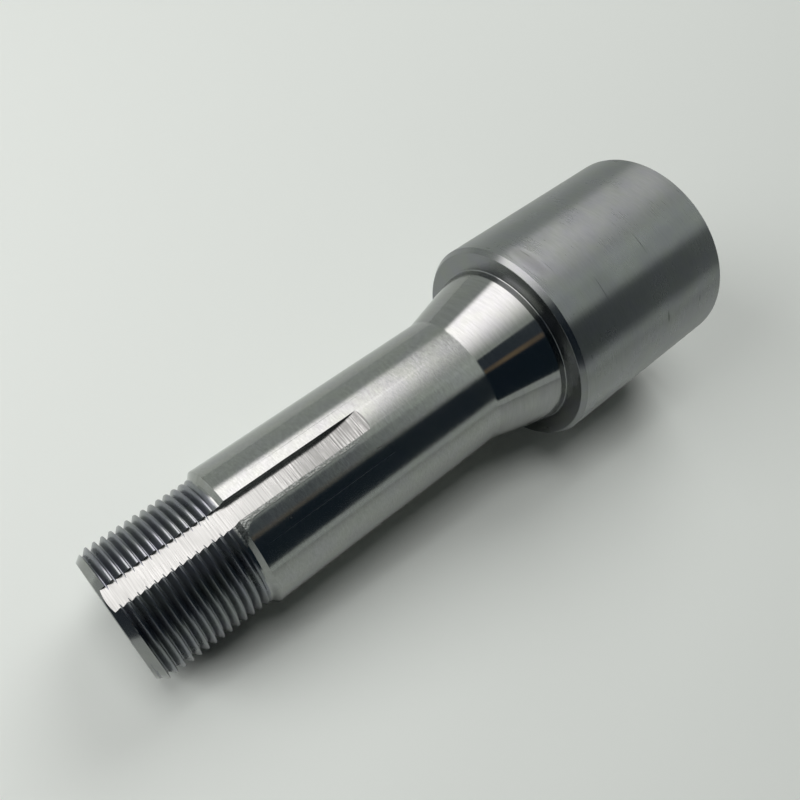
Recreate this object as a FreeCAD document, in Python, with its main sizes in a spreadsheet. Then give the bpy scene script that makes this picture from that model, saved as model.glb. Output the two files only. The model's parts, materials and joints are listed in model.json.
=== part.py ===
# Blank arbor with a drawn-in collet shank, turned from one bar of steel.
# It stands on the flat end of its head, with the threaded end at the top.
# Origin: centre of the head's flat end. +Z runs along the axis to the threaded end.
# The keyway is milled in the -Y side. Units: millimetres and degrees.

import FreeCAD, Part
import os
import re

import Sketcher

nodeName = "blank_arbor"

# Each row: the value's name, its size and what it measures.
drivingSizes = [
    ("headDiameter", 50.8, "plain cylinder of the head"),
    ("headLength", 50.0, "head, from the flat end to the shoulder"),
    ("headBevelLength", 1.2, "bevel at the shoulder, along the axis"),
    ("headBevelDepth", 0.9, "bevel at the shoulder, in radius"),
    ("rimBreak", 0.3, "broken edge round the flat end"),
    ("landLength", 1.6, "short cylinder between the shoulder and the taper"),
    ("landFillet", 0.3, "inside corner of the land and the shoulder"),
    ("taperLength", 15.4, "seating taper, along the axis"),
    ("taperHalfAngle", 15.0, "seating taper, to the axis"),
    ("shankDiameter", 32.0, "ground shank"),
    ("shankLength", 60.4, "ground shank, from the taper to the lead"),
    ("leadLength", 1.0, "cone from the shank down to the thread"),
    ("threadDiameter", 29.7, "thread, over the crests"),
    ("threadLength", 25.8, "thread, from the lead to the end face"),
    ("threadPitch", 1.75, "thread, one start, right hand"),
    ("crestWidth", 0.33, "flat on top of the thread"),
    ("rootWidth", 0.18, "flat at the bottom of the groove"),
    ("loadFlankAngle", 10.0, "flank that faces the head, to the radius"),
    ("backFlankAngle", 42.0, "flank that faces the end, to the radius"),
    ("crestOffset", 1.46, "end face to the first crest, along the keyway"),
    ("stripLength", 0.55, "plain strip between the lead and the first groove"),
    ("fadeLength", 1.8, "stretch in which the groove grows to its depth"),
    ("endBevelLength", 2.0, "bevel at the threaded end, along the axis"),
    ("endBevelDepth", 1.5, "bevel at the threaded end, in radius"),
    ("keywayWidth", 5.0, "keyway, between its side walls"),
    ("keywayDepth", 2.4, "keyway, from the shank's surface to the floor"),
    ("keywayLength", 47.0, "keyway's level floor, from the end face"),
    ("cutterDiameter", 63.0, "disc cutter that leaves the keyway's run-out"),
    ("centreMouth", 7.5, "centre holes, at the mouth"),
    ("centrePilot", 3.15, "centre holes, pilot"),
    ("centreDepth", 9.0, "centre holes, from the mouth to the drill point"),
    ("centreHalfAngle", 30.0, "centre holes, cone to the axis"),
    ("pointHalfAngle", 59.0, "centre holes, drill point to the axis"),
]

# Stations are heights above the head's flat end.
derivedSizes = [
    ("headRadius", "headDiameter / 2"),
    ("shankRadius", "shankDiameter / 2"),
    ("landRadius", "shankRadius + taperLength * tan(taperHalfAngle)"),
    ("threadRadius", "threadDiameter / 2"),
    ("taperStation", "headLength + landLength"),
    ("shankStation", "taperStation + taperLength"),
    ("leadStation", "shankStation + shankLength"),
    ("threadStation", "leadStation + leadLength"),
    ("endStation", "threadStation + threadLength"),
    ("flankSpread", "tan(loadFlankAngle) + tan(backFlankAngle)"),
    ("threadDepth", "(threadPitch - crestWidth - rootWidth) / flankSpread"),
    ("rootRadius", "threadRadius - threadDepth"),
    ("coilMargin", "crestWidth / 2 / flankSpread"),
    ("coilRadius", "threadRadius + coilMargin"),
    ("apexRadius", "rootRadius - rootWidth / flankSpread"),
    ("coilTurns", "ceil(threadLength / threadPitch) + 1"),
    ("firstCrest", "endStation - crestOffset + threadPitch / 4 - coilTurns * threadPitch"),
    ("apexStation", "firstCrest - crestWidth / 2 - (threadRadius - apexRadius) * tan(loadFlankAngle)"),
    ("grooveStation", "threadStation + stripLength"),
    ("coilEnd", "endStation + 3 * threadPitch"),
    ("mouthRadius", "centreMouth / 2"),
    ("pilotRadius", "centrePilot / 2"),
    ("mouthDepth", "(mouthRadius - pilotRadius) / tan(centreHalfAngle)"),
    ("pointDepth", "centreDepth + pilotRadius / tan(pointHalfAngle)"),
    ("cutterRadius", "cutterDiameter / 2"),
    ("floorRadius", "shankRadius - keywayDepth"),
    ("keywayStation", "endStation - keywayLength"),
]

# How a sketch constraint names the origin, the axis on which each distance is zero
# and the points of an edge, which it counts from 1.
origin = (-1, 1)
zeroAxis = {"DistanceX": -2, "DistanceY": -1}
startPoint, endPoint, centrePoint = range(1, 4)


def makeSheet(doc):
    sheet = doc.addObject("Spreadsheet::Sheet", "Sizes")
    row = 1
    for name, value, meaning in drivingSizes:
        sheet.set("A%d" % row, str(value))
        sheet.setAlias("A%d" % row, name)
        sheet.set("B%d" % row, meaning)
        row += 1
    for name, formula in derivedSizes:
        sheet.set("A%d" % row, "=" + formula)
        sheet.setAlias("A%d" % row, name)
        row += 1
    doc.recompute()


# Points each camelCase name in a formula at its cell of the sheet.
def fromSheet(formula):
    return re.sub(r"\b[a-z]+[A-Z]\w*", r"Sizes.\g<0>", formula)


def sizeOf(sketch, formula):
    return float(sketch.evalExpression(fromSheet(formula)))


def newSketch(body, name, role):
    sketch = body.newObject("Sketcher::SketchObject", name)
    plane = [feature for feature in body.Origin.OriginFeatures if feature.Role == role][0]
    sketch.AttachmentSupport = [(plane, "")]
    sketch.MapMode = "FlatFace"
    return sketch


# Holds a point of an edge at its distance across from the axis or along it.
def tie(sketch, kind, edge, point, name, formula):
    if formula == "0":
        sketch.addConstraint(Sketcher.Constraint("PointOnObject", edge, point, zeroAxis[kind]))
        return
    value = sizeOf(sketch, formula)
    constraint = Sketcher.Constraint(kind, *origin, edge, point, value)
    sketch.renameConstraint(sketch.addConstraint(constraint), name)
    sketch.setExpression("Constraints." + name, fromSheet(formula))


# A quarter circle that runs clockwise has its centre to the right of its chord.
def clockwiseQuarter(first, last):
    chord = last - first
    centre = (first + last + FreeCAD.Vector(chord.y, -chord.x, 0)) / 2
    circle = Part.Circle(centre, FreeCAD.Vector(0, 0, 1), centre.distanceToPoint(first))
    return Part.ArcOfCircle(circle, circle.parameter(last), circle.parameter(first))


# Closed outline through corners, each a name, a distance from the axis and a height.
# Edges are straight, but for the quarter circle that leaves each corner named in
# centres, which holds the distance of its centre from the axis.
def drawOutline(sketch, corners, centres):
    spots = []
    for name, across, along in corners:
        spots.append(FreeCAD.Vector(sizeOf(sketch, across), sizeOf(sketch, along), 0))
    path = []
    for (name, across, along), first, last in zip(corners, spots, spots[1:] + spots[:1]):
        if name in centres:
            path.append((sketch.addGeometry(clockwiseQuarter(first, last)), endPoint, startPoint))
        else:
            path.append((sketch.addGeometry(Part.LineSegment(first, last)), startPoint, endPoint))
    for (edge, enter, leave), (following, nextEnter, nextLeave) in zip(path, path[1:] + path[:1]):
        sketch.addConstraint(Sketcher.Constraint("Coincident", edge, leave, following, nextEnter))
    for (name, across, along), (edge, enter, leave) in zip(corners, path):
        tie(sketch, "DistanceX", edge, enter, name + "Across", across)
        tie(sketch, "DistanceY", edge, enter, name + "Along", along)
        if name in centres:
            tie(sketch, "DistanceX", edge, centrePoint, name + "Centre", centres[name])


def revolve(body, kind, name, sketch):
    feature = body.newObject("PartDesign::" + kind, name)
    feature.Profile = sketch
    feature.ReferenceAxis = (sketch, ["V_Axis"])
    feature.Angle = 360
    return feature


# What the lathe and the grinder leave, before the thread and the keyway are cut.
def turnBlank(body):
    profile = newSketch(body, "TurnedProfile", "XZ_Plane")
    drawOutline(profile, [
        ("nearPoint", "0", "pointDepth"),
        ("nearPilot", "pilotRadius", "centreDepth"),
        ("nearCone", "pilotRadius", "mouthDepth"),
        ("nearMouth", "mouthRadius", "0"),
        ("flatEdge", "headRadius - rimBreak", "0"),
        ("headRim", "headRadius", "rimBreak"),
        ("bevelFoot", "headRadius", "headLength - headBevelLength"),
        ("bevelTop", "headRadius - headBevelDepth", "headLength"),
        ("filletFoot", "landRadius + landFillet", "headLength"),
        ("filletTop", "landRadius", "headLength + landFillet"),
        ("taperLarge", "landRadius", "taperStation"),
        ("taperSmall", "shankRadius", "shankStation"),
        ("shankEnd", "shankRadius", "leadStation"),
        ("leadEnd", "threadRadius", "threadStation"),
        ("threadEnd", "threadRadius", "endStation - endBevelLength"),
        ("endEdge", "threadRadius - endBevelDepth", "endStation"),
        ("farMouth", "mouthRadius", "endStation"),
        ("farCone", "pilotRadius", "endStation - mouthDepth"),
        ("farPilot", "pilotRadius", "endStation - centreDepth"),
        ("farPoint", "0", "endStation - pointDepth"),
    ], {"filletFoot": "landRadius + landFillet"})
    revolve(body, "Revolution", "TurnedBlank", profile)


# The ring of steel that the threading tool can reach. Its wall is the bottom of the
# groove, and its cone brings the groove up to the surface beside the lead.
def makeReach(doc):
    reach = doc.addObject("PartDesign::Body", "ThreadReach")
    profile = newSketch(reach, "ReachProfile", "XZ_Plane")
    drawOutline(profile, [
        ("fadeStart", "threadRadius", "grooveStation"),
        ("reachFoot", "coilRadius + threadPitch", "grooveStation"),
        ("reachTop", "coilRadius + threadPitch", "coilEnd + threadPitch"),
        ("rootTop", "rootRadius", "coilEnd + threadPitch"),
        ("fadeEnd", "rootRadius", "grooveStation + fadeLength"),
    ], {})
    revolve(reach, "Revolution", "ReachRing", profile)
    return reach


# The groove as a coil of one sharp section, then cut back to the tool's reach.
def makeGroove(doc):
    groove = doc.addObject("PartDesign::Body", "ThreadGroove")
    section = newSketch(groove, "GrooveSection", "XZ_Plane")
    drawOutline(section, [
        ("apex", "apexRadius", "apexStation"),
        ("backEdge", "coilRadius", "apexStation - (coilRadius - apexRadius) * tan(backFlankAngle)"),
        ("loadEdge", "coilRadius", "apexStation + (coilRadius - apexRadius) * tan(loadFlankAngle)"),
    ], {})
    coil = groove.newObject("PartDesign::AdditiveHelix", "GrooveCoil")
    coil.Profile = section
    coil.ReferenceAxis = (section, ["V_Axis"])
    coil.Mode = "pitch-height-angle"
    coil.setExpression("Pitch", fromSheet("threadPitch"))
    coil.setExpression("Height", fromSheet("coilEnd - apexStation"))
    doc.recompute()
    combine(groove, "Common", "GrooveInReach", makeReach(doc))
    return groove


# The turns of the coil stay separate faces, because joining them spoils the cut.
def combine(body, kind, name, other):
    feature = body.newObject("PartDesign::Boolean", name)
    feature.Type = kind
    feature.Refine = False
    feature.setObjects([other])


# Slot milled in from the end face, with the round run-out of a disc cutter.
def cutKeyway(body):
    profile = newSketch(body, "KeywayProfile", "YZ_Plane")
    drawOutline(profile, [
        ("floorEnd", "-floorRadius", "keywayStation"),
        ("runOut", "-floorRadius - cutterRadius", "keywayStation - cutterRadius"),
        ("outerTop", "-floorRadius - cutterRadius", "endStation + keywayWidth"),
        ("floorTop", "-floorRadius", "endStation + keywayWidth"),
    ], {"floorEnd": "-floorRadius - cutterRadius"})
    keyway = body.newObject("PartDesign::Pocket", "Keyway")
    keyway.Profile = profile
    keyway.SideType = "Symmetric"
    keyway.setExpression("Length", fromSheet("keywayWidth"))


# Runs one cutting step and makes sure that it took steel away.
def cutting(doc, body, step, name):
    before = body.Shape.Volume
    step()
    doc.recompute()
    if body.Shape.Volume >= before:
        raise RuntimeError("%s cuts nothing" % name)


def main():
    doc = FreeCAD.newDocument("BlankArbor")
    makeSheet(doc)
    arbor = doc.addObject("PartDesign::Body", "Arbor")
    arbor.Label = nodeName
    turnBlank(arbor)
    doc.recompute()
    groove = makeGroove(doc)
    cutting(doc, arbor, lambda: combine(arbor, "Cut", "Thread", groove), "The thread")
    cutting(doc, arbor, lambda: cutKeyway(arbor), "The keyway")
    for item in doc.Objects:
        if "Invalid" in item.State or "Error" in item.State:
            raise RuntimeError("%s failed: %s" % (item.Name, item.State))
    if arbor.Shape.isNull() or not arbor.Shape.isValid() or len(arbor.Shape.Solids) != 1:
        raise RuntimeError("The arbor isn't one valid solid")
    os.makedirs("parts", exist_ok=True)
    arbor.Shape.exportStep("parts/%s.step" % nodeName)
    print("%s: %.0f mm3 in %d faces" % (nodeName, arbor.Shape.Volume, len(arbor.Shape.Faces)))


main()
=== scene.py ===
import json
import math

import bmesh
import bpy
from mathutils import Matrix, Vector


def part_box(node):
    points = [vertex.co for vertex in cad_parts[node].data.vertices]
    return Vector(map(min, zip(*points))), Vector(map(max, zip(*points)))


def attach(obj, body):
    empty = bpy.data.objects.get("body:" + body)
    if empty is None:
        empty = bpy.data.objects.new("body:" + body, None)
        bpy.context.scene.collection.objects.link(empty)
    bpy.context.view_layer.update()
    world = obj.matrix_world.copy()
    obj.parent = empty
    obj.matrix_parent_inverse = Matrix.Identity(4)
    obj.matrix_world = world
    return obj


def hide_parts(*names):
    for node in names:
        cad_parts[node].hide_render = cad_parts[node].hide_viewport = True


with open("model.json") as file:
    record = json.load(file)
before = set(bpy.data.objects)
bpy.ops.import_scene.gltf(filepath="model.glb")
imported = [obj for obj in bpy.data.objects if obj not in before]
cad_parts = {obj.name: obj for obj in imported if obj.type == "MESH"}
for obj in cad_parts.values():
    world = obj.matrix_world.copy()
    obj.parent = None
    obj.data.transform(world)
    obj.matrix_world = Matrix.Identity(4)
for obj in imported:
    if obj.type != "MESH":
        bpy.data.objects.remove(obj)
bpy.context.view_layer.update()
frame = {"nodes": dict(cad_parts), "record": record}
mm = 0.001
print("frame loaded:", list(frame["nodes"]))

mounts = {mount["name"]: mount for mount in frame["record"]["mounts"]}
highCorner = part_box("blank_arbor")[1]

# Millimetres and degrees. Heights run from the head's flat end to the threaded end.
arbor = {
    "headRadius": highCorner.x / mm,
    "headLength": 50.0,
    "headBevelLength": 1.2,
    "headBevelDepth": 0.9,
    "rimBreak": 0.3,
    "landLength": 1.6,
    "landFillet": 0.3,
    "taperLength": 15.4,
    "taperHalfAngle": 15.0,
    "shankRadius": mounts["shank"]["dims"]["r_mm"],
    "shankLength": mounts["shank"]["dims"]["length_mm"],
    "leadLength": 1.0,
    "threadRadius": 14.85,
    "endBevelLength": 2.0,
    "endBevelDepth": 1.5,
    "length": highCorner.z / mm,
    "mouthRadius": 3.75,
    "pilotRadius": 1.575,
    "centreDepth": 9.0,
    "centreHalfAngle": 30.0,
    "pointHalfAngle": 59.0,
    "columns": 256,         # steps round the axis
    "cornerSteps": 4,       # steps round each softened corner
    "sharpAngle": 28.0,     # shading breaks over corners sharper than this
    "faceWeight": 100,      # large faces set the shading of the corners between them
}

# How far each corner is rounded back along its two sides.
softening = {
    "pilotPoint": 0.04,
    "pilotMouth": 0.08,
    "centreMouth": 0.08,
    "rim": 0.06,
    "headBevelFoot": 0.07,
    "headBevelTop": 0.09,
    "land": 0.10,
    "taperFoot": 0.30,
    "shankEnd": 0.05,
    "leadFoot": 0.12,
    "endEdge": 0.07,
    "thread": 0.035,        # half width of the rounding on crests and roots
}

thread = {
    "pitch": 1.75,
    "crestWidth": 0.33,
    "rootWidth": 0.18,
    "loadFlankAngle": 10.0,
    "backFlankAngle": 42.0,
    "crestOffset": 1.46,    # end face to the first crest, along the keyway
    "stripLength": 0.55,
    "fadeLength": 1.8,
    "plainFoot": 0.3,       # rings without a groove below and above the helical rows
    "plainTop": 0.1,
}

keyway = {
    "width": 5.0,
    "depth": 2.4,
    "floorLength": 47.0,
    "cutterRadius": 31.5,
    "arcSpan": 50.0,
    "arcSteps": 64,
    "overrun": 5.0,         # how far the cutter goes past the end face
}


def tangent(degrees):
    return math.tan(math.radians(degrees))


def threadDepth():
    flat = thread["crestWidth"] + thread["rootWidth"]
    spread = tangent(thread["loadFlankAngle"]) + tangent(thread["backFlankAngle"])
    return (thread["pitch"] - flat) / spread


# Heights of the taper's large end, the shank's two ends and the thread's foot.
def stations():
    taper = arbor["headLength"] + arbor["landLength"]
    shank = taper + arbor["taperLength"]
    lead = shank + arbor["shankLength"]
    return taper, shank, lead, lead + arbor["leadLength"]


# Depth of the groove at a distance above a crest, with its corners still sharp.
def sharpDepth(rise):
    rise = rise % thread["pitch"]
    deep = threadDepth()
    back = (rise - thread["crestWidth"] / 2) / tangent(thread["backFlankAngle"])
    load = (thread["pitch"] - rise - thread["crestWidth"] / 2) / tangent(thread["loadFlankAngle"])
    return max(0.0, min(deep, back, load))


def grooveDepth(rise):
    soft = softening["thread"]
    spots = (-1.0, -0.6, -0.2, 0.2, 0.6, 1.0)
    return sum(sharpDepth(rise + soft * spot) for spot in spots) / len(spots)


# Where rows of the mesh run along one pitch, as distances above a crest.
def threadRows():
    pitch = thread["pitch"]
    soft = softening["thread"]
    crestEdge = thread["crestWidth"] / 2
    backFoot = crestEdge + threadDepth() * tangent(thread["backFlankAngle"])
    loadFoot = backFoot + thread["rootWidth"]
    rows = []
    for corner in (crestEdge, backFoot, loadFoot, pitch - crestEdge):
        rows += [corner - soft, corner, corner + soft]
    for share in (0.25, 0.5, 0.75):
        rows.append(crestEdge + (backFoot - crestEdge) * share)
    rows.append((loadFoot + pitch - crestEdge) / 2)
    return sorted(rows)


# Radius of the threaded end at a turn about the axis and a height.
def threadSurface(turn, height):
    start = stations()[3]
    # The keyway is a quarter turn before the X axis, where turn is zero.
    crest = arbor["length"] - thread["crestOffset"] + thread["pitch"] * (turn + 0.25)
    depth = grooveDepth(height - crest)
    reach = (height - start - thread["stripLength"]) / thread["fadeLength"] * threadDepth()
    depth = min(depth, max(0.0, reach))
    bevelRise = height - (arbor["length"] - arbor["endBevelLength"])
    bevel = bevelRise * arbor["endBevelDepth"] / arbor["endBevelLength"]
    return arbor["threadRadius"] - max(depth, bevel)


# Corners (radius, height, softening) become points, with each corner as a small arc.
def softened(corners):
    points = []
    for index, (radius, height, soft) in enumerate(corners):
        here = Vector((radius, height))
        if soft == 0:
            points.append(here)
            continue
        before = Vector(corners[index - 1][:2]) - here
        after = Vector(corners[index + 1][:2]) - here
        start = here + before.normalized() * soft
        end = here + after.normalized() * soft
        for step in range(arbor["cornerSteps"] + 1):
            share = step / arbor["cornerSteps"]
            points.append(start * (1 - share) ** 2 + here * 2 * share * (1 - share) + end * share ** 2)
    return points


def centreHole(face, inwards):
    cone = (arbor["mouthRadius"] - arbor["pilotRadius"]) / tangent(arbor["centreHalfAngle"])
    point = arbor["centreDepth"] + arbor["pilotRadius"] / tangent(arbor["pointHalfAngle"])
    return [
        (0.0, face + inwards * point, 0),
        (arbor["pilotRadius"], face + inwards * arbor["centreDepth"], softening["pilotPoint"]),
        (arbor["pilotRadius"], face + inwards * cone, softening["pilotMouth"]),
        (arbor["mouthRadius"], face, softening["centreMouth"]),
    ]


def lowerOutline():
    taper, shank, lead, start = stations()
    head = arbor["headLength"]
    landRadius = arbor["shankRadius"] + arbor["taperLength"] * tangent(arbor["taperHalfAngle"])
    return softened(centreHole(0.0, 1) + [
        (arbor["headRadius"] - arbor["rimBreak"], 0.0, softening["rim"]),
        (arbor["headRadius"], arbor["rimBreak"], softening["rim"]),
        (arbor["headRadius"], head - arbor["headBevelLength"], softening["headBevelFoot"]),
        (arbor["headRadius"] - arbor["headBevelDepth"], head, softening["headBevelTop"]),
        (landRadius, head, arbor["landFillet"]),
        (landRadius, taper, softening["land"]),
        (arbor["shankRadius"], shank, softening["taperFoot"]),
        (arbor["shankRadius"], lead, softening["shankEnd"]),
        (arbor["threadRadius"], start, softening["leadFoot"]),
        (arbor["threadRadius"], start + thread["plainFoot"], 0),
    ])


def upperOutline():
    end = arbor["length"]
    edge = arbor["threadRadius"] - arbor["endBevelDepth"]
    slope = arbor["endBevelDepth"] / arbor["endBevelLength"]
    top = thread["plainTop"]
    rest = [(edge + top * slope, end - top, 0), (edge, end, softening["endEdge"])]
    return softened(rest + centreHole(end, -1)[::-1])


# Closed surface: rings below the thread, helical rows along it and rings above it.
def turnedMesh():
    columns = arbor["columns"]
    shell = bmesh.new()
    made = {}

    def vertex(column, key, radius, height):
        if radius < 1e-6:
            column = 0
        spot = (column % columns, key)
        if spot not in made:
            turn = math.tau * column / columns
            place = Vector((radius * math.cos(turn), radius * math.sin(turn), height))
            made[spot] = shell.verts.new(place * mm)
        return made[spot]

    def patch(corners):
        ring = []
        for corner in corners:
            if corner not in ring:
                ring.append(corner)
        if len(ring) > 2:
            shell.faces.new(ring)

    lower = lowerOutline()
    upper = upperOutline()
    low, high = lower[-1].y, upper[0].y

    # Rings above and below the thread.
    shared = {("lower", len(lower) - 1): "low", ("upper", 0): "high"}
    for name, outline in (("lower", lower), ("upper", upper)):
        for index in range(len(outline) - 1):
            for column in range(columns):
                corners = []
                for side, step in ((column, 0), (column + 1, 0), (column + 1, 1), (column, 1)):
                    point = outline[index + step]
                    spot = (name, index + step)
                    corners.append(vertex(side, shared.get(spot, spot), point.x, point.y))
                patch(corners)

    # Helical rows. Each climbs one pitch in a turn, so it goes on as a later row.
    rows = threadRows()
    turnsLong = math.ceil((high - low) / thread["pitch"]) + 2
    lowest = low - thread["pitch"] * 2
    heights = [lowest + thread["pitch"] * turn + row for turn in range(turnsLong + 2) for row in rows]
    firstCrest = arbor["length"] - thread["crestOffset"] + thread["pitch"] / 4
    shift = (firstCrest - low) % thread["pitch"]

    def threadVertex(column, row):
        if column == columns:
            column, row = 0, row + len(rows)
        if row >= len(heights):
            return made[(column, "high")]
        turn = column / columns
        height = heights[row] + shift + thread["pitch"] * turn
        if height <= low:
            return made[(column, "low")]
        if height >= high:
            return made[(column, "high")]
        return vertex(column, ("thread", row), threadSurface(turn, height), height)

    for column in range(columns):
        for row in range(len(heights) - 1):
            patch([
                threadVertex(column, row),
                threadVertex(column + 1, row),
                threadVertex(column + 1, row + 1),
                threadVertex(column, row + 1),
            ])
    mesh = bpy.data.meshes.new("arborSteel")
    shell.to_mesh(mesh)
    shell.free()
    return mesh


def keywayCutter():
    end = arbor["length"]
    floor = -(arbor["shankRadius"] - keyway["depth"])
    start = end - keyway["floorLength"]
    radius = keyway["cutterRadius"]
    top = end + keyway["overrun"]
    outline = [(floor, top), (floor, start)]
    for step in range(1, keyway["arcSteps"] + 1):
        swing = math.radians(keyway["arcSpan"]) * step / keyway["arcSteps"]
        outline.append((floor - radius * (1 - math.cos(swing)), start - radius * math.sin(swing)))
    outline.append((outline[-1][0], top))
    shell = bmesh.new()
    sides = []
    for across in (-keyway["width"] / 2, keyway["width"] / 2):
        sides.append([shell.verts.new(Vector((across, y, z)) * mm) for y, z in outline])
    count = len(outline)
    for index in range(count):
        following = (index + 1) % count
        shell.faces.new([sides[0][index], sides[0][following], sides[1][following], sides[1][index]])
    shell.faces.new(sides[0])
    shell.faces.new(sides[1][::-1])
    bmesh.ops.recalc_face_normals(shell, faces=shell.faces)
    mesh = bpy.data.meshes.new("keywayCutter")
    shell.to_mesh(mesh)
    shell.free()
    return mesh


def newObject(name, mesh):
    made = bpy.data.objects.new(name, mesh)
    bpy.context.scene.collection.objects.link(made)
    return made


def applyModifiers(made):
    bpy.context.view_layer.update()
    settled = made.evaluated_get(bpy.context.evaluated_depsgraph_get())
    mesh = bpy.data.meshes.new_from_object(settled)
    made.modifiers.clear()
    made.data = mesh


# Short ways to write shader nodes.
def addNode(tree, kind, **settings):
    made = tree.nodes.new(kind)
    for name, value in settings.items():
        setattr(made, name, value)
    return made


def link(tree, output, target):
    tree.links.new(output, target)


def newGroup(name, inputs, outputs):
    tree = bpy.data.node_groups.new(name, "ShaderNodeTree")
    for label, value in inputs.items():
        socket = tree.interface.new_socket(label, in_out="INPUT", socket_type="NodeSocketFloat")
        socket.default_value = value
    for label in outputs:
        tree.interface.new_socket(label, in_out="OUTPUT", socket_type="NodeSocketFloat")
    return tree, addNode(tree, "NodeGroupInput"), addNode(tree, "NodeGroupOutput")


def calculate(tree, operation, *values):
    made = addNode(tree, "ShaderNodeMath", operation=operation)
    for index, value in enumerate(values):
        if isinstance(value, (int, float)):
            made.inputs[index].default_value = value
        else:
            link(tree, value, made.inputs[index])
    return made.outputs[0]


def useGroup(tree, name, **values):
    made = addNode(tree, "ShaderNodeGroup", node_tree=bpy.data.node_groups[name])
    for label, value in values.items():
        made.inputs[label.replace("_", " ")].default_value = value
    return made


# Where a point is on the piece, as a vector and as its three parts.
def objectPlace(tree):
    place = addNode(tree, "ShaderNodeTexCoord")
    split = addNode(tree, "ShaderNodeSeparateXYZ")
    link(tree, place.outputs["Object"], split.inputs[0])
    return place.outputs["Object"], split.outputs


# Nothing at the low value and full at the high one.
def addRamp(tree, value, low, high, **settings):
    ramp = addNode(tree, "ShaderNodeMapRange", **settings)
    ramp.inputs["From Min"].default_value = low
    ramp.inputs["From Max"].default_value = high
    link(tree, value, ramp.inputs["Value"])
    return ramp.outputs["Result"]


def addNoise(tree, place, scale, detail, roughness=0.5):
    noise = addNode(tree, "ShaderNodeTexNoise")
    noise.inputs["Scale"].default_value = scale
    noise.inputs["Detail"].default_value = detail
    noise.inputs["Roughness"].default_value = roughness
    link(tree, place, noise.inputs["Vector"])
    return noise.outputs["Fac"]


# Values inside the shared effects. Noise is stretched so that it runs from none to full
# between the two levels of its span.
effects = {
    "noiseSpan": (0.35, 0.65),
    "ringDetail": 4.0,
    "ringRoughness": 0.65,
    "millingDetail": 3.0,
    "millingRoughness": 0.7,
    "patchDetail": 3.0,
    "markFade": (1.0, 0.1),     # squared distance where a mark begins and where it is full
    "markRagged": 0.9,
    "markScale": 500.0,         # across the whole piece
    "markDetail": 3.0,
    "markShade": (0.2, 0.2, 0.2, 1),
    "markRougher": 0.3,
}

# The keyway's lower edge, broken by hand. Its corner at the lead was drawn down.
wear = {
    "width": 0.95,
    "cornerWidth": 3.4,         # added to the width at the lead
    "cornerLength": 4.6,
    "starts": (97.0, 103.0),    # heights where it begins and where it is full
    "border": (1.08, 0.8),      # shares of the width
    "overlap": 0.05,            # how far it reaches over the wall
    "gritScale": 2600.0,        # per metre
    "shades": (0.55, 1.25),     # shares of the ground steel's colour
    "rougher": 0.12,
    "slope": 0.054,
    "gritDepth": 0.03,
}


# Distance along the work (height, plus radius on the flat faces), turn and height.
def latheCoordinates():
    tree, given, result = newGroup("latheCoordinates", {}, ["Along", "Round", "Height"])
    parts = objectPlace(tree)[1]
    x, y, z = [calculate(tree, "MULTIPLY", parts[axis], 1 / mm) for axis in range(3)]
    squares = calculate(tree, "ADD", calculate(tree, "MULTIPLY", x, x), calculate(tree, "MULTIPLY", y, y))
    radius = calculate(tree, "SQRT", squares)
    link(tree, calculate(tree, "ADD", z, radius), result.inputs["Along"])
    link(tree, calculate(tree, "ARCTAN2", y, x), result.inputs["Round"])
    link(tree, z, result.inputs["Height"])


# Fine rings that a tool or a wheel leaves: long round the work and narrow along it.
def ringLines():
    tree, given, result = newGroup("ringLines", {"Lines per mm": 8.0, "Length": 3.0}, ["Lines"])
    lathe = useGroup(tree, "latheCoordinates")
    # A circle of points keeps the pattern whole where the turn starts again.
    join = addNode(tree, "ShaderNodeCombineXYZ")
    for axis, operation in ((0, "COSINE"), (1, "SINE")):
        wave = calculate(tree, operation, lathe.outputs["Round"])
        link(tree, calculate(tree, "MULTIPLY", wave, given.outputs["Length"]), join.inputs[axis])
    across = calculate(tree, "MULTIPLY", lathe.outputs["Along"], given.outputs["Lines per mm"])
    link(tree, across, join.inputs[2])
    noise = addNoise(tree, join.outputs[0], 1.0, effects["ringDetail"], effects["ringRoughness"])
    link(tree, noise, result.inputs["Lines"])


# Uneven lines that a disc cutter leaves straight across the keyway's floor.
def millingLines():
    inputs = {"Lines per mm": 5.0, "Length": 2.0, "Contrast": 1.0}
    tree, given, result = newGroup("millingLines", inputs, ["Lines"])
    parts = objectPlace(tree)[1]
    across = calculate(tree, "MULTIPLY", parts[0], 1 / mm)
    along = calculate(tree, "MULTIPLY", parts[2], 1 / mm)
    join = addNode(tree, "ShaderNodeCombineXYZ")
    link(tree, calculate(tree, "DIVIDE", across, given.outputs["Length"]), join.inputs[0])
    link(tree, calculate(tree, "MULTIPLY", along, given.outputs["Lines per mm"]), join.inputs[2])
    noise = addNoise(tree, join.outputs[0], 1.0, effects["millingDetail"], effects["millingRoughness"])
    centred = calculate(tree, "SUBTRACT", noise, 0.5)
    lines = calculate(tree, "MULTIPLY_ADD", centred, given.outputs["Contrast"], 0.5)
    clamped = addNode(tree, "ShaderNodeClamp")
    link(tree, lines, clamped.inputs["Value"])
    link(tree, clamped.outputs[0], result.inputs["Lines"])


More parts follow.
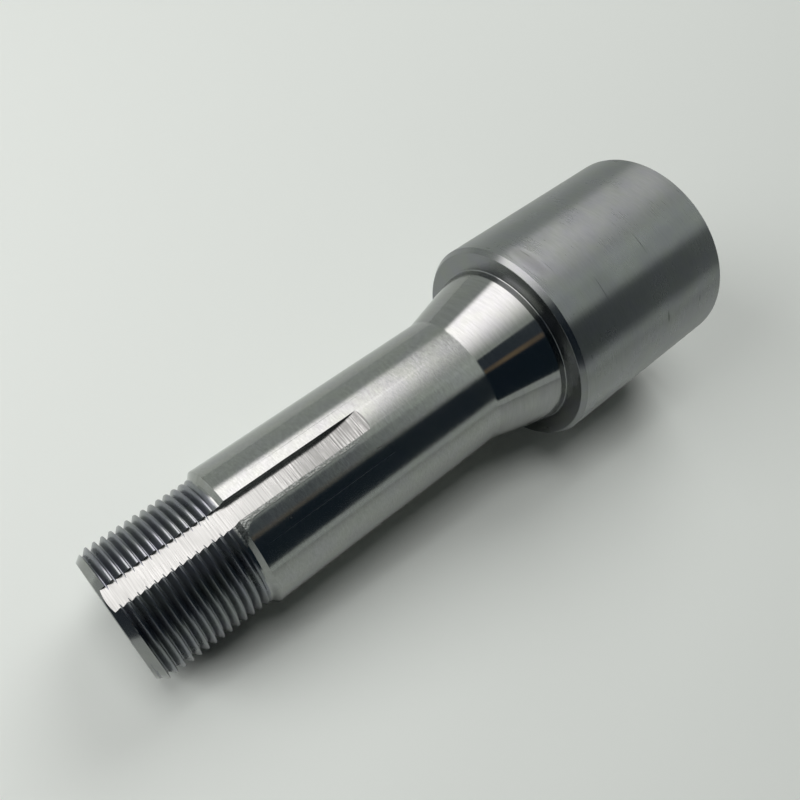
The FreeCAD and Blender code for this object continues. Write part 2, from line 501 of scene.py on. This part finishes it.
# A scratch or scar with ragged sides, full at its middle.
def markGroup():
    inputs = {"Turn": -90.0, "Height": 20.0, "Span": 10.0, "Tall": 0.2}
    tree, given, result = newGroup("mark", inputs, ["Mask"])
    lathe = useGroup(tree, "latheCoordinates")
    turned = calculate(tree, "DEGREES", lathe.outputs["Round"])
    squares = []
    for place, middle, size in ((turned, "Turn", "Span"), (lathe.outputs["Height"], "Height", "Tall")):
        away = calculate(tree, "SUBTRACT", place, given.outputs[middle])
        half = calculate(tree, "MULTIPLY", given.outputs[size], 0.5)
        squares.append(calculate(tree, "POWER", calculate(tree, "DIVIDE", away, half), 2.0))
    far = calculate(tree, "ADD", squares[0], squares[1])
    whole = addNode(tree, "ShaderNodeTexCoord").outputs["Generated"]
    noise = addNoise(tree, whole, effects["markScale"], effects["markDetail"])
    centred = calculate(tree, "SUBTRACT", noise, 0.5)
    ragged = calculate(tree, "MULTIPLY_ADD", centred, effects["markRagged"], far)
    mask = addRamp(tree, ragged, *effects["markFade"], interpolation_type="SMOOTHSTEP")
    link(tree, mask, result.inputs["Mask"])


# The worn band beside the keyway: where it is, its grit, and its drop, which is how far
# in from the band's border a point is.
def wornEdge():
    inputs = {"Width": wear["width"], "Corner": wear["cornerWidth"]}
    tree, given, result = newGroup("wornEdge", inputs, ["Mask", "Grit", "Drop"])
    place, parts = objectPlace(tree)
    out = calculate(tree, "MULTIPLY_ADD", parts[0], -1 / mm, -keyway["width"] / 2)
    foot = stations()[3]
    near = addRamp(tree, parts[2], (foot - wear["cornerLength"]) * mm, foot * mm)
    curve = calculate(tree, "POWER", near, 2.0)
    wide = calculate(tree, "MULTIPLY_ADD", curve, given.outputs["Corner"], given.outputs["Width"])
    share = calculate(tree, "DIVIDE", out, wide)
    border = addRamp(tree, share, *wear["border"], interpolation_type="SMOOTHSTEP")
    begun = addRamp(tree, parts[2], *[height * mm for height in wear["starts"]])
    mask = calculate(tree, "MULTIPLY", border, begun)
    mask = calculate(tree, "MULTIPLY", mask, calculate(tree, "GREATER_THAN", share, 0.0))
    link(tree, mask, result.inputs["Mask"])
    inside = calculate(tree, "MAXIMUM", calculate(tree, "SUBTRACT", wide, out), 0.0)
    inside = calculate(tree, "MULTIPLY", inside, calculate(tree, "GREATER_THAN", out, -wear["overlap"]))
    link(tree, calculate(tree, "MULTIPLY", inside, begun), result.inputs["Drop"])
    noise = addNoise(tree, place, wear["gritScale"], 1.0)
    link(tree, addRamp(tree, noise, *effects["noiseSpan"]), result.inputs["Grit"])


# Soft patches, as of oil film and handling.
def softPatches():
    tree, given, result = newGroup("softPatches", {"Size": 12.0, "From": 0.0, "To": 1.0}, ["Patches"])
    noise = addNoise(tree, objectPlace(tree)[0], 1.0, effects["patchDetail"])
    scale = calculate(tree, "DIVIDE", 1 / mm, given.outputs["Size"])
    link(tree, scale, noise.node.inputs["Scale"])
    spread = addRamp(tree, noise, *effects["noiseSpan"])
    link(tree, given.outputs["From"], spread.node.inputs["To Min"])
    link(tree, given.outputs["To"], spread.node.inputs["To Max"])
    link(tree, spread, result.inputs["Patches"])


# Colour, then roughness from the smoother patches to the rougher ones. Lines are per
# mm, their length is in turns of the noise, and bump is in mm. Stretch spreads
# highlights along the axis, contrast is between lines, and tint between patches.
steels = {
    "turnedSteel": {
        "color": (0.244, 0.255, 0.256), "rough": (0.27, 0.31), "lines": 2.6, "length": 7.0,
        "bump": 0.012, "stretch": 0.97, "contrast": 0.16, "tint": 0.02,
    },
    "faceSteel": {
        "color": (0.215, 0.224, 0.226), "rough": (0.22, 0.27), "lines": 5.0, "length": 4.0,
        "bump": 0.002, "stretch": 0.5, "contrast": 0.1, "tint": 0.03,
    },
    "groundSteel": {
        "color": (0.285, 0.295, 0.286), "rough": (0.165, 0.195), "lines": 2.8, "length": 13.0,
        "bump": 0.012, "stretch": 0.97, "contrast": 0.28, "tint": 0.015,
    },
    "taperSteel": {
        "color": (0.266, 0.274, 0.268), "rough": (0.105, 0.15), "lines": 2.8, "length": 4.0,
        "bump": 0.006, "stretch": 0.85, "contrast": 0.2, "tint": 0.015,
    },
    "crestSteel": {
        "color": (0.2, 0.21, 0.222), "rough": (0.27, 0.33), "lines": 9.0, "length": 6.0,
        "bump": 0.001, "stretch": 0.5, "contrast": 0.12, "tint": 0.03,
    },
    # The grooves' steel is the crests' steel made darker: partly a darker finish on the flanks, partly
    # painted shade in the grooves.
    "threadSteel": {
        "color": (0.185, 0.196, 0.21), "rough": (0.27, 0.33), "lines": 9.0, "length": 6.0,
        "bump": 0.001, "stretch": 0.5, "contrast": 0.12, "tint": 0.03,
    },
    "milledSteel": {
        "color": (0.395, 0.40, 0.39), "rough": (0.24, 0.32), "lines": 2.9, "length": 16.0,
        "bump": 0.006, "stretch": 0.9,
    },
}

turning = {
    "roughPatch": 9.0,      # size of the patches, in mm
    "tintPatch": 5.0,
    "lineRough": 0.08,      # how much roughness changes from line to line
}

# Shades are shares of the milled steel's colour, at the lines' dark and light ends.
milling = {
    "lineContrast": 4.5,
    "bandLines": 0.6,
    "bandLength": 6.0,
    "bandContrast": 2.5,
    "bandShade": 0.5,
    "roughPatch": 7.0,
    "streakedShades": (0.2, 1.3),
    "evenShades": (0.84, 1.14),
    "brighteningHeights": (102.0, 126.0),     # where the floor turns from darker and streaked to brighter and even
    # The walls' share is painted shade, for the shade inside the keyway.
    "paintedWallShade": 0.35,
    "wallDepth": 0.03,
}

# Scratches and scars: turn and height of the middle, span in degrees, height in mm
# and how much they darken the steel.
marks = {
    "turnedSteel": [
        (-103.2, 20.3, 17.0, 0.16, 0.6),
        (-111.4, 36.3, 18.0, 0.16, 0.5),
        (-86.5, 43.5, 11.0, 0.16, 0.4),
        (-147.6, 20.2, 9.0, 0.5, 0.55),
        (-151.0, 8.3, 5.0, 0.4, 0.35),
        (-137.0, 46.3, 3.0, 0.3, 0.4),
        (-113.1, 46.2, 0.5, 0.3, 0.9),
        (-73.0, 44.6, 9.0, 0.3, 0.3),
        (-68.0, 41.0, 6.0, 0.2, 0.3),
        (-78.0, 45.5, 34.0, 5.0, 0.045),
    ],
    "groundSteel": [
        (-123.3, 109.0, 0.55, 37.0, 0.0),
        (-71.8, 106.0, 0.5, 41.0, 0.0),
        (-113.6, 96.5, 0.9, 1.6, 0.5),
        (-117.5, 119.0, 1.2, 0.5, 0.5),
    ],
}


# A metal shader whose highlights spread across the rings.
def newSteel(name):
    values = steels[name]
    steel = bpy.data.materials.new(name)
    steel.use_nodes = True
    tree = steel.node_tree
    shader = tree.nodes["Principled BSDF"]
    shader.inputs["Metallic"].default_value = 1.0
    shader.inputs["Anisotropic"].default_value = values["stretch"]
    shader.inputs["Anisotropic Rotation"].default_value = 0.25     # a quarter turn
    around = addNode(tree, "ShaderNodeTangent", direction_type="RADIAL", axis="Z")
    link(tree, around.outputs[0], shader.inputs["Tangent"])
    return tree, shader, values


# Colour between two shades, chosen by a factor.
def shadeBetween(tree, factor, low, high):
    shade = addNode(tree, "ShaderNodeMix", data_type="RGBA")
    for label, part in (("A", low), ("B", high)):
        if isinstance(part, tuple):
            shade.inputs[label].default_value = (*part, 1)
        else:
            link(tree, part, shade.inputs[label])
    link(tree, factor, shade.inputs["Factor"])
    return shade.outputs["Result"]


def scaled(color, share):
    return tuple(part * share for part in color)


def addBump(tree, shader, height, depth):
    bump = addNode(tree, "ShaderNodeBump")
    bump.inputs["Distance"].default_value = depth * mm
    link(tree, height, bump.inputs["Height"])
    link(tree, bump.outputs[0], shader.inputs["Normal"])


def tinted(color, tint):
    red, green, blue = color
    return red * (1 + tint / 2), green * (1 + tint), blue * (1 - tint)


# Rougher, darker scars over what the tool or the wheel left.
def addMarks(tree, name, color, rough):
    for turn, height, span, tall, darker in marks.get(name, []):
        mark = useGroup(tree, "mark", Turn=turn, Height=height, Span=span, Tall=tall).outputs[0]
        dark = addNode(tree, "ShaderNodeMix", data_type="RGBA", blend_type="MULTIPLY")
        link(tree, calculate(tree, "MULTIPLY", mark, darker), dark.inputs["Factor"])
        link(tree, color, dark.inputs["A"])
        dark.inputs["B"].default_value = effects["markShade"]
        color = dark.outputs["Result"]
        rough = calculate(tree, "MULTIPLY_ADD", mark, effects["markRougher"], rough)
    return color, rough


def shadesOf(color, shares):
    return [scaled(color, share) for share in shares]


def addWornEdge(tree, values, lines, color, rough):
    edge = useGroup(tree, "wornEdge")
    mask, grit, drop = edge.outputs["Mask"], edge.outputs["Grit"], edge.outputs["Drop"]
    gritty = shadeBetween(tree, grit, *shadesOf(values["color"], wear["shades"]))
    color = shadeBetween(tree, mask, color, gritty)
    rough = calculate(tree, "MULTIPLY_ADD", mask, wear["rougher"], rough)
    fall = calculate(tree, "MULTIPLY", drop, -wear["slope"] / values["bump"])
    grains = calculate(tree, "MULTIPLY", grit, mask)
    height = calculate(tree, "MULTIPLY_ADD", grains, wear["gritDepth"] / values["bump"], fall)
    return color, rough, calculate(tree, "ADD", height, lines)


def makeTurned(name):
    tree, shader, values = newSteel(name)
    lines = useGroup(tree, "ringLines", Lines_per_mm=values["lines"], Length=values["length"]).outputs[0]
    smoother, rougher = values["rough"]
    patches = useGroup(tree, "softPatches", Size=turning["roughPatch"], From=smoother, To=rougher)
    rough = calculate(tree, "MULTIPLY_ADD", lines, turning["lineRough"], patches.outputs[0])
    rough = calculate(tree, "SUBTRACT", rough, turning["lineRough"] / 2)
    low, high = shadesOf(values["color"], (1 - values["contrast"], 1 + values["contrast"]))
    tint = values["tint"]
    warm = shadeBetween(tree, lines, tinted(low, tint), tinted(high, tint))
    cool = shadeBetween(tree, lines, tinted(low, -tint), tinted(high, -tint))
    tints = useGroup(tree, "softPatches", Size=turning["tintPatch"], From=0.0, To=1.0)
    color = shadeBetween(tree, tints.outputs[0], warm, cool)
    color, rough = addMarks(tree, name, color, rough)
    height = lines
    if name == "groundSteel":
        color, rough, height = addWornEdge(tree, values, lines, color, rough)
    link(tree, color, shader.inputs["Base Color"])
    link(tree, rough, shader.inputs["Roughness"])
    addBump(tree, shader, height, values["bump"])


def makeMilled(name):
    tree, shader, values = newSteel(name)
    fine = useGroup(
        tree, "millingLines", Lines_per_mm=values["lines"], Length=values["length"],
        Contrast=milling["lineContrast"],
    ).outputs[0]
    bands = useGroup(
        tree, "millingLines", Lines_per_mm=milling["bandLines"], Length=milling["bandLength"],
        Contrast=milling["bandContrast"],
    ).outputs[0]
    smoother, rougher = values["rough"]
    patches = useGroup(tree, "softPatches", Size=milling["roughPatch"], From=smoother, To=rougher)
    link(tree, patches.outputs[0], shader.inputs["Roughness"])
    # The floor is brighter and more even towards the threaded end, and darker and more streaked towards
    # the head.
    parts = objectPlace(tree)[1]
    heights = [height * mm for height in milling["brighteningHeights"]]
    brightening = addRamp(tree, parts[2], *heights, interpolation_type="SMOOTHSTEP")
    streaked = shadeBetween(tree, fine, *shadesOf(values["color"], milling["streakedShades"]))
    streaked = shadeBetween(tree, bands, streaked, scaled(values["color"], milling["bandShade"]))
    bright = shadeBetween(tree, fine, *shadesOf(values["color"], milling["evenShades"]))
    color = shadeBetween(tree, brightening, streaked, bright)
    # Painted shade: the keyway's walls are coloured darker than its floor, for the shade that falls
    # inside the keyway.
    away = calculate(tree, "ABSOLUTE", parts[0])
    wall = calculate(tree, "GREATER_THAN", away, (keyway["width"] / 2 - milling["wallDepth"]) * mm)
    color = shadeBetween(tree, wall, color, scaled(values["color"], milling["paintedWallShade"]))
    link(tree, color, shader.inputs["Base Color"])
    addBump(tree, shader, fine, values["bump"])


latheCoordinates()
ringLines()
softPatches()
millingLines()
markGroup()
wornEdge()
steelOrder = list(steels)
for steelName in steelOrder:
    makeSteel = makeMilled if steelName == "milledSteel" else makeTurned
    makeSteel(steelName)
print("steels made:", steelOrder)

# How far each finish runs past its corner, in mm.
overlap = {"shoulder": 0.1, "shank": 0.2, "thread": 0.4, "crest": 0.06}


def steelAt(radius, height, flat):
    head = arbor["headLength"]
    shank, start = stations()[1], stations()[3]
    if head - arbor["headBevelLength"] < height < head + overlap["shoulder"]:
        return "faceSteel"
    if height < head or flat:
        return "turnedSteel"
    if height < shank - overlap["shank"]:
        return "taperSteel"
    if height < start + overlap["thread"]:
        return "groundSteel"
    bevelRise = height - (arbor["length"] - arbor["endBevelLength"])
    bevel = max(bevelRise, 0) * arbor["endBevelDepth"] / arbor["endBevelLength"]
    if radius > arbor["threadRadius"] - bevel - overlap["crest"]:
        return "taperSteel" if bevel else "crestSteel"
    return "threadSteel"


def makeArbor():
    mesh = turnedMesh()
    for name in steelOrder:
        mesh.materials.append(bpy.data.materials[name])
    for face in mesh.polygons:
        centre = face.center / mm
        radius = math.hypot(centre.x, centre.y)
        flat = abs(face.normal.z) > 0.99 or radius < arbor["mouthRadius"]
        face.material_index = steelOrder.index(steelAt(radius, centre.z, flat))
    made = newObject("arbor", mesh)
    cutterMesh = keywayCutter()
    cutterMesh.materials.append(bpy.data.materials["milledSteel"])
    cutter = newObject("cutter", cutterMesh)
    cut = made.modifiers.new("keyway", "BOOLEAN")
    cut.operation = "DIFFERENCE"
    cut.solver = "EXACT"
    cut.material_mode = "TRANSFER"
    cut.object = cutter
    applyModifiers(made)
    bpy.data.objects.remove(cutter)
    made.data.polygons.foreach_set("use_smooth", [True] * len(made.data.polygons))
    made.data.set_sharp_from_angle(angle=math.radians(arbor["sharpAngle"]))
    weighted = made.modifiers.new("facesFirst", "WEIGHTED_NORMAL")
    weighted.keep_sharp = True
    weighted.weight = arbor["faceWeight"]
    applyModifiers(made)
    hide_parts("blank_arbor")
    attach(made, "root")
    return made


arborPiece = makeArbor()
print("arbor made:", len(arborPiece.data.polygons), "faces", [m.name for m in arborPiece.data.materials])

# The arbor stands on its head in its own frame, so the sheet that it lies on is nearly upright.
stage = {
    "upwards": -88.0,       # turn about the axis that points away from the sheet
    "rimHeight": 48.8,      # the two rounds that touch the sheet
    "rimRadius": 25.4,
    "crestHeight": 152.2,
    "crestRadius": 14.85,
    "size": 0.9,
    "color": (0.88, 0.915, 0.87),
    "rough": 0.6,
    "shine": 0.3,
}


def sheetFrame():
    turn = math.radians(stage["upwards"])
    out = Vector((math.cos(turn), math.sin(turn), 0))
    rim = out * -stage["rimRadius"] + Vector((0, 0, stage["rimHeight"]))
    crest = out * -stage["crestRadius"] + Vector((0, 0, stage["crestHeight"]))
    along = (crest - rim).normalized()
    up = (out - along * out.dot(along)).normalized()
    return rim * mm, along, up.cross(along), up


# The first shader shows where the factor is nothing, and the second where it is full.
def mixShaders(tree, factor, first, second):
    mix = addNode(tree, "ShaderNodeMixShader")
    link(tree, factor, mix.inputs[0])
    link(tree, first.outputs[0], mix.inputs[1])
    link(tree, second.outputs[0], mix.inputs[2])
    link(tree, mix.outputs[0], tree.nodes["Material Output"].inputs["Surface"])


def makeSheet():
    place, along, across, up = sheetFrame()
    half = stage["size"] / 2
    shell = bmesh.new()
    corners = []
    for first, second in ((-half, -half), (half, -half), (half, half), (-half, half)):
        corners.append(shell.verts.new(place + along * first + across * second))
    face = shell.faces.new(corners)
    shell.normal_update()
    if face.normal.dot(up) < 0:
        face.normal_flip()
    mesh = bpy.data.meshes.new("sheet")
    shell.to_mesh(mesh)
    shell.free()
    made = newObject("sheet", mesh)
    paper = bpy.data.materials.new("palePaper")
    paper.use_nodes = True
    tree = paper.node_tree
    shader = tree.nodes["Principled BSDF"]
    shader.inputs["Base Color"].default_value = (*stage["color"], 1)
    shader.inputs["Roughness"].default_value = stage["rough"]
    shader.inputs["Specular IOR Level"].default_value = stage["shine"]
    # From below, the sheet lets the eye and the light through.
    side = addNode(tree, "ShaderNodeNewGeometry")
    clear = addNode(tree, "ShaderNodeBsdfTransparent")
    mixShaders(tree, side.outputs["Backfacing"], shader, clear)
    mesh.materials.append(paper)


middle = Vector((0, 0, 85)) * mm     # what the lamps and cards face


def direction(azimuth, elevation):
    turn, rise = math.radians(azimuth), math.radians(elevation)
    return Vector((math.cos(turn) * math.cos(rise), math.sin(turn) * math.cos(rise), math.sin(rise)))


def aim(made, place, target):
    made.location = place
    made.rotation_mode = "QUATERNION"
    made.rotation_quaternion = (target - place).to_track_quat("-Z", "Y")


# Turn and rise are seen from the arbor's middle. Level is how bright the lamp's face is.
lamps = {
    "overhead": {
        "turn": -83.0, "rise": 0.0, "distance": 0.9, "width": 0.36, "height": 0.36, "level": 4.7,
    },
    "windowHigh": {
        "turn": -57.0, "rise": 45.0, "distance": 0.8, "width": 0.5, "height": 0.5, "level": 4.4,
    },
    "windowLow": {
        "turn": -57.0, "rise": -40.0, "distance": 0.8, "width": 0.5, "height": 0.5, "level": 2.8,
    },
}


def makeLamps():
    for name, values in lamps.items():
        light = bpy.data.lights.new(name, "AREA")
        light.shape = "RECTANGLE"
        light.size = values["width"]
        light.size_y = values["height"]
        light.energy = values["level"] * math.pi * values["width"] * values["height"]
        made = newObject(name, light)
        aim(made, middle + direction(values["turn"], values["rise"]) * values["distance"], middle)
        made.visible_glossy = False     # the steel sees the cards instead


# Cards stand for what the steel reflects. They light nothing else, and their edges
# fade over shares of their width and height: left, right, low and high, with left
# at the smaller turn.
cards = {
    "window": {
        "turn": -62.7, "rise": 5.0, "distance": 0.80, "width": 1.20, "height": 1.03,
        "fade": (0.62, 0.15, 0.12, 0.1), "color": (3.5, 3.34, 3.34),
    },
    "darkRoom": {
        "turn": -146.0, "rise": 4.0, "distance": 0.62, "width": 0.66, "height": 1.7,
        "fade": (0.05, 0.22, 0.05, 0.05), "color": (0.015, 0.025, 0.036),
    },
    "darkHand": {
        "turn": -120.2, "rise": 10.0, "distance": 0.73, "width": 0.54, "height": 1.0,
        "fade": (0.05, 0.06, 0.14, 0.05), "color": (0.058, 0.073, 0.09),
    },
    "paleSide": {
        "turn": -107.0, "rise": -41.0, "distance": 0.57, "width": 0.42, "height": 0.42,
        "fade": (0.35, 0.35, 0.3, 0.35), "color": (0.95, 1.0, 0.95),
    },
    "darkAbove": {
        "turn": -124.0, "rise": 66.0, "distance": 0.55, "width": 0.58, "height": 0.52,
        "fade": (0.12, 0.1, 0.1, 0.1), "color": (0.05, 0.06, 0.072),
    },
    "warmEdge": {
        "turn": -122.3, "rise": -5.3, "distance": 0.45, "width": 0.075, "height": 0.06,
        "fade": (0.4, 0.4, 0.2, 0.2), "color": (0.38, 0.27, 0.155),
    },
}


# One where a card is full and falling to nothing at its edges.
def softEdges():
    inputs = {"Left": 0.1, "Right": 0.1, "Low": 0.1, "High": 0.1}
    tree, given, result = newGroup("softEdges", inputs, ["Mask"])
    place = addNode(tree, "ShaderNodeTexCoord")
    split = addNode(tree, "ShaderNodeSeparateXYZ")
    link(tree, place.outputs["Generated"], split.inputs[0])
    mask = 1.0
    for axis, near, far in ((0, "Left", "Right"), (1, "Low", "High")):
        inwards = split.outputs[axis]
        backwards = calculate(tree, "SUBTRACT", 1.0, inwards)
        for distance, label in ((inwards, near), (backwards, far)):
            fade = addRamp(tree, distance, 0.0, 1.0, interpolation_type="SMOOTHSTEP")
            link(tree, given.outputs[label], fade.node.inputs["From Max"])
            mask = calculate(tree, "MULTIPLY", fade, mask)
    link(tree, mask, result.inputs["Mask"])


def makeCards():
    softEdges()
    for name, values in cards.items():
        shell = bmesh.new()
        bmesh.ops.create_grid(shell, x_segments=1, y_segments=1, size=0.5)
        bmesh.ops.scale(shell, vec=(values["width"], values["height"], 1), verts=shell.verts)
        mesh = bpy.data.meshes.new(name)
        shell.to_mesh(mesh)
        shell.free()
        made = newObject(name, mesh)
        aim(made, middle + direction(values["turn"], values["rise"]) * values["distance"], middle)
        face = bpy.data.materials.new(name)
        face.use_nodes = True
        tree = face.node_tree
        glow = addNode(tree, "ShaderNodeEmission")
        glow.inputs["Color"].default_value = (*values["color"], 1)
        clear = addNode(tree, "ShaderNodeBsdfTransparent")
        left, right, low, high = values["fade"]
        edges = useGroup(tree, "softEdges", Left=left, Right=right, Low=low, High=high)
        mixShaders(tree, edges.outputs["Mask"], clear, glow)
        mesh.materials.append(face)
        made.visible_camera = False
        made.visible_diffuse = False
        made.visible_shadow = False


room = {
    "color": (0.565, 0.595, 0.565),
    "seen": 1.0,            # as the eye and the steel see it
    "lighting": 0.04,       # as it lights the sheet
}


def makeWorld():
    world = bpy.data.worlds.new("room")
    world.use_nodes = True
    tree = world.node_tree
    back = tree.nodes["Background"]
    back.inputs["Color"].default_value = (*room["color"], 1)
    rays = addNode(tree, "ShaderNodeLightPath")
    seen = calculate(tree, "MAXIMUM", rays.outputs["Is Camera Ray"], rays.outputs["Is Glossy Ray"])
    seen = calculate(tree, "MAXIMUM", seen, rays.outputs["Is Transmission Ray"])
    strength = calculate(tree, "MULTIPLY_ADD", seen, room["seen"] - room["lighting"], room["lighting"])
    link(tree, strength, back.inputs["Strength"])
    bpy.context.scene.world = world


# Where the camera is, which way it looks and which way its right side points.
view = {
    "place": (-46.01, -165.92, 154.89),
    "forward": (0.2625, 0.8783, -0.3995),
    "right": (-0.6432, -0.1493, -0.7510),
    "lens": 37.52,
    "sensor": 36.0,
    "clip": (0.01, 20.0),       # metres
}


def makeCamera():
    camera = bpy.data.cameras.new("camera")
    camera.lens = view["lens"]
    camera.sensor_width = view["sensor"]
    camera.clip_start, camera.clip_end = view["clip"]
    made = newObject("camera", camera)
    forward = Vector(view["forward"]).normalized()
    right = Vector(view["right"])
    right = (right - forward * right.dot(forward)).normalized()
    up = right.cross(forward)
    turned = Matrix((right, up, -forward)).transposed()
    made.matrix_world = Matrix.Translation(Vector(view["place"]) * mm) @ turned.to_4x4()
    bpy.context.scene.camera = made


makeSheet()
makeLamps()
makeCards()
makeWorld()
makeCamera()
bpy.context.scene.view_settings.view_transform = "Standard"
bpy.context.view_layer.update()
print("stage, lamps and camera made")
